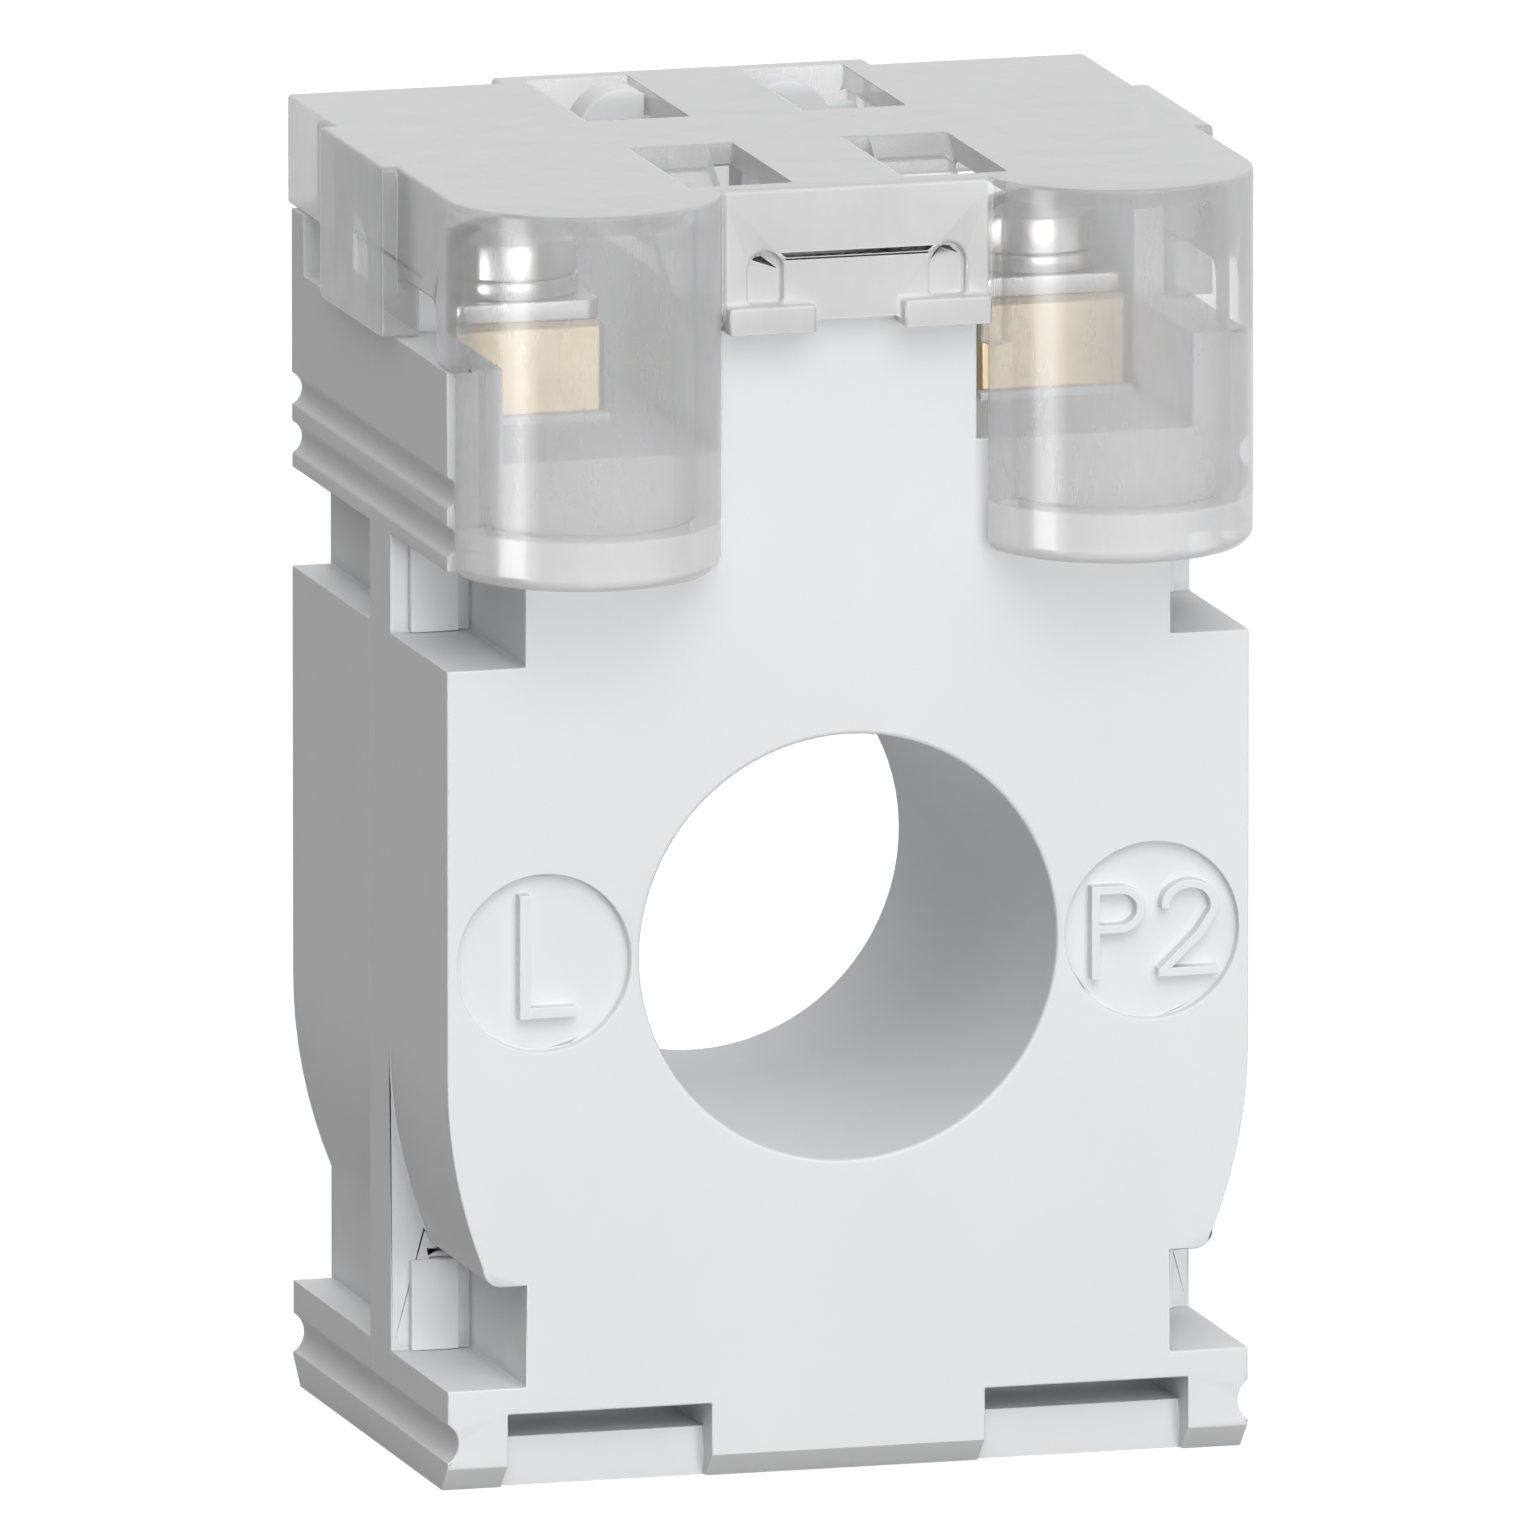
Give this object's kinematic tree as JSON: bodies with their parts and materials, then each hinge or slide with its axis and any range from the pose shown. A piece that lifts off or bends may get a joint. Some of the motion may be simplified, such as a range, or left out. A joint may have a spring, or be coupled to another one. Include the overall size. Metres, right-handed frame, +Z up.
{
  "type": "current transformer",
  "caption": "Moulded ring-type current transformer for a cable, with a round bore, screw terminals and a clear lift-off terminal cover.",
  "frame": {"origin": "on the mounting face under the bore, where the two halves of the case meet", "axes": "+Z up from the mounting face, +Y along the cable bore towards the back, +X to the right"},
  "size_m": [0.0434, 0.0387, 0.0663],
  "materials": {
    "case_plastic": "fine matt moulded",
    "clear_cover": "clear moulded",
    "brass": "machined",
    "plated_steel": "nickel plated",
    "core_steel": "rolled strip",
    "copper_wire": "enamelled",
    "wrap_film": "film tape",
    "lead_insulation": "extruded"
  },
  "bodies": {
    "case": {"front_case": "case_plastic", "rear_case": "case_plastic", "ring_core": "core_steel", "secondary_winding": "copper_wire", "winding_wrap": "wrap_film", "terminal_block_left": "brass", "lead_wire_left": "lead_insulation", "terminal_block_right": "brass", "lead_wire_right": "lead_insulation"},
    "cover": {"terminal_cover": "clear_cover"},
    "clamp_left": {"clamp_plate_left": "plated_steel", "spring_washer_left": "plated_steel"},
    "screw_left": {"terminal_screw_left": "plated_steel"},
    "clamp_right": {"clamp_plate_right": "plated_steel", "spring_washer_right": "plated_steel"},
    "screw_right": {"terminal_screw_right": "plated_steel"}
  },
  "joints": [
    {"name": "cover_lift", "type": "slide", "parent": "case", "child": "cover", "axis": [0, 0, 1], "range_m": [0, 0.022]},
    {"name": "clamp_left_lift", "type": "slide", "parent": "case", "child": "clamp_left", "axis": [0, 0, 1], "range_m": [0, 0.0021]},
    {"name": "screw_left_turn", "type": "hinge", "parent": "clamp_left", "child": "screw_left", "pos_m": [-0.01372, 0, 0.06], "axis": [0, 0, 1], "range_deg": [0, 1080.5]},
    {"name": "clamp_right_lift", "type": "slide", "parent": "case", "child": "clamp_right", "axis": [0, 0, 1], "range_m": [0, 0.0021]},
    {"name": "screw_right_turn", "type": "hinge", "parent": "clamp_right", "child": "screw_right", "pos_m": [0.01372, 0, 0.06], "axis": [0, 0, 1], "range_deg": [0, 1080.5]}
  ],
  "couplings": [
    {"joint": "screw_left_turn", "follows": "clamp_left_lift", "rad_per_m": 8976},
    {"joint": "screw_right_turn", "follows": "clamp_right_lift", "rad_per_m": 8976}
  ]
}
